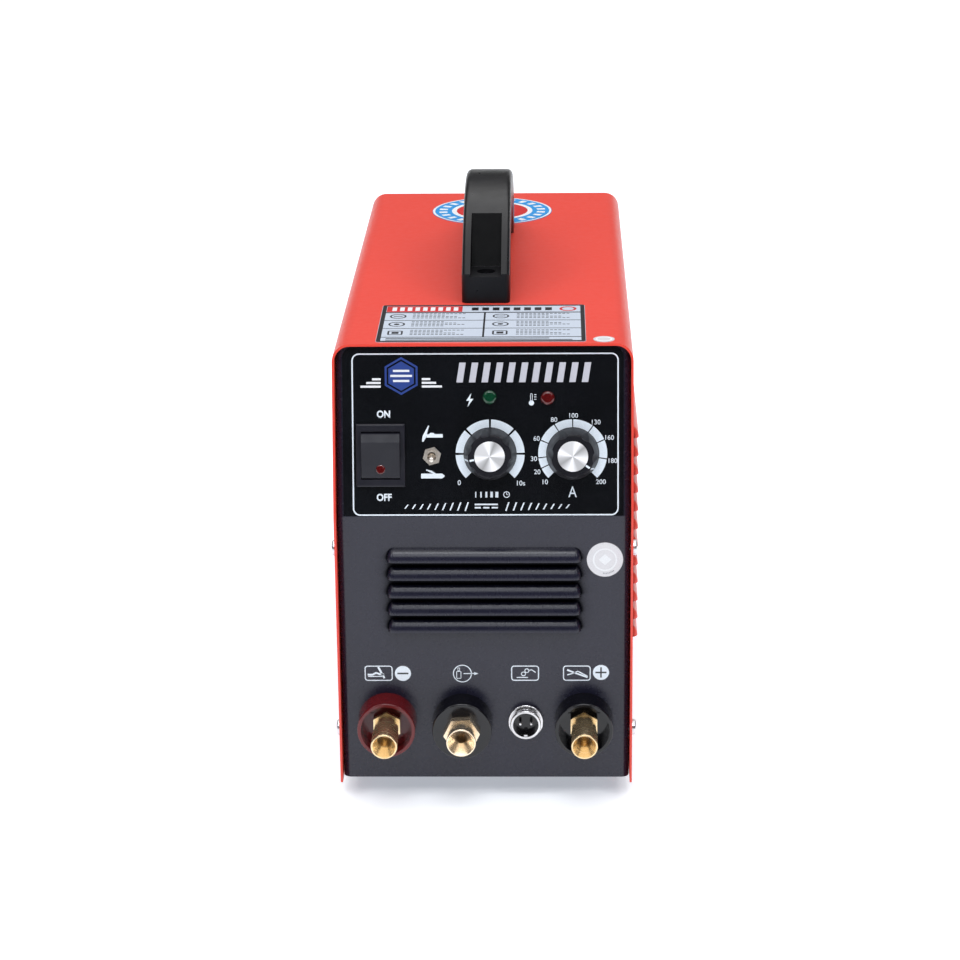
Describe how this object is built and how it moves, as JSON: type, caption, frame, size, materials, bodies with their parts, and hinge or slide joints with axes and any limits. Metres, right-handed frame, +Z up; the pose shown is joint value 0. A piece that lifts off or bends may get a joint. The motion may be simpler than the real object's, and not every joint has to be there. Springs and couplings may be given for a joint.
{
  "type": "tig welding machine",
  "caption": "Portable inverter TIG welding machine: folded steel case with louvres, leaning control panel, arched carry handle, welding terminals, gas outlet and rear fan.",
  "frame": {"origin": "under the middle of the whole length, on the surface the feet stand on", "axes": "+X to the right seen from the front, +Y from front to rear, +Z up"},
  "size_m": [0.165, 0.428, 0.297],
  "materials": {
    "red_paint": "semi-gloss powder coat",
    "grey_paint": "satin",
    "gloss_film": "gloss printed film",
    "print_label": "printed film",
    "black_moulding": "satin",
    "zinc_steel": "zinc plated",
    "foot_rubber": "matte",
    "hose_rubber": "matte",
    "green_lens": "translucent",
    "red_lens": "translucent",
    "red_moulding": "semi-gloss",
    "brass": "machined",
    "bright_chrome": "bright",
    "spun_aluminium": "spun",
    "circuit_board": "solder mask",
    "copper": "enamelled copper"
  },
  "bodies": {
    "case": {"outer_cover": "red_paint", "front_panel": "grey_paint", "control_overlay": "gloss_film", "rear_panel": "grey_paint", "base_tray": "grey_paint", "carry_handle": "black_moulding", "handle_screws": "zinc_steel", "handle_nuts": "zinc_steel", "cover_screws": "zinc_steel", "flange_screws": "zinc_steel", "rubber_feet": "foot_rubber", "foot_screws": "zinc_steel", "top_label": "print_label", "top_badge": "print_label", "round_stickers": "print_label", "power_switch_housing": "black_moulding", "mode_switch_body": "zinc_steel", "potentiometers": "zinc_steel", "control_nuts": "zinc_steel", "power_lamp": "green_lens", "overload_lamp": "red_lens", "negative_insulator": "red_moulding", "positive_insulator": "black_moulding", "terminal_studs": "brass", "panel_back_nuts": "zinc_steel", "gas_outlet_insulator": "black_moulding", "gas_outlet_fitting": "brass", "control_socket_shell": "bright_chrome", "control_socket_insert": "black_moulding", "control_socket_pins": "bright_chrome", "fan_frame": "black_moulding", "fan_guard": "zinc_steel", "fan_screws": "zinc_steel", "mains_gland": "black_moulding", "gas_inlet": "brass", "earth_stud": "zinc_steel", "power_board": "circuit_board", "standoffs": "brass", "control_board": "circuit_board", "heat_sinks": "spun_aluminium", "power_modules": "black_moulding", "capacitors": "black_moulding", "transformer_core": "black_moulding", "transformer_winding": "copper", "output_choke": "copper", "arc_start_coil": "copper", "output_busbars": "copper", "gas_valve": "brass", "gas_hoses": "hose_rubber"},
    "power_rocker": {"power_switch_rocker": "black_moulding", "power_switch_lens": "red_lens"},
    "mode_lever": {"mode_switch_lever": "zinc_steel"},
    "gas_time_dial": {"gas_time_knob": "black_moulding", "gas_time_knob_cap": "spun_aluminium", "gas_time_spindle": "zinc_steel"},
    "current_dial": {"current_knob": "black_moulding", "current_knob_cap": "spun_aluminium", "current_spindle": "zinc_steel"},
    "fan": {"fan_rotor": "black_moulding"},
    "valve_plunger": {"gas_valve_plunger": "zinc_steel"}
  },
  "joints": [
    {"name": "power_switch", "type": "hinge", "parent": "case", "child": "power_rocker", "pos_m": [-0.0529, -0.17105, 0.18954], "axis": [-1, 0, 0], "range_deg": [0, 18]},
    {"name": "mode_switch", "type": "hinge", "parent": "case", "child": "mode_lever", "pos_m": [-0.0264, -0.17329, 0.18959], "axis": [-1, 0, 0], "range_deg": [0, 17]},
    {"name": "gas_time_control", "type": "hinge", "parent": "case", "child": "gas_time_dial", "pos_m": [0.0036, -0.17191, 0.19033], "axis": [0, 0.9794, -0.2021], "range_deg": [-33.2, 236.8]},
    {"name": "current_control", "type": "hinge", "parent": "case", "child": "current_dial", "pos_m": [0.0462, -0.17191, 0.19033], "axis": [0, 0.9794, -0.2021], "range_deg": [-260, 10]},
    {"name": "fan_spin", "type": "hinge", "parent": "case", "child": "fan", "pos_m": [0, 0.17, 0.138], "axis": [0, 1, 0], "continuous": true},
    {"name": "gas_valve_lift", "type": "slide", "parent": "case", "child": "valve_plunger", "axis": [0, 0, 1], "range_m": [0, 0.0015], "stiffness_N_per_m": 150, "springref_m": -0.002}
  ]
}
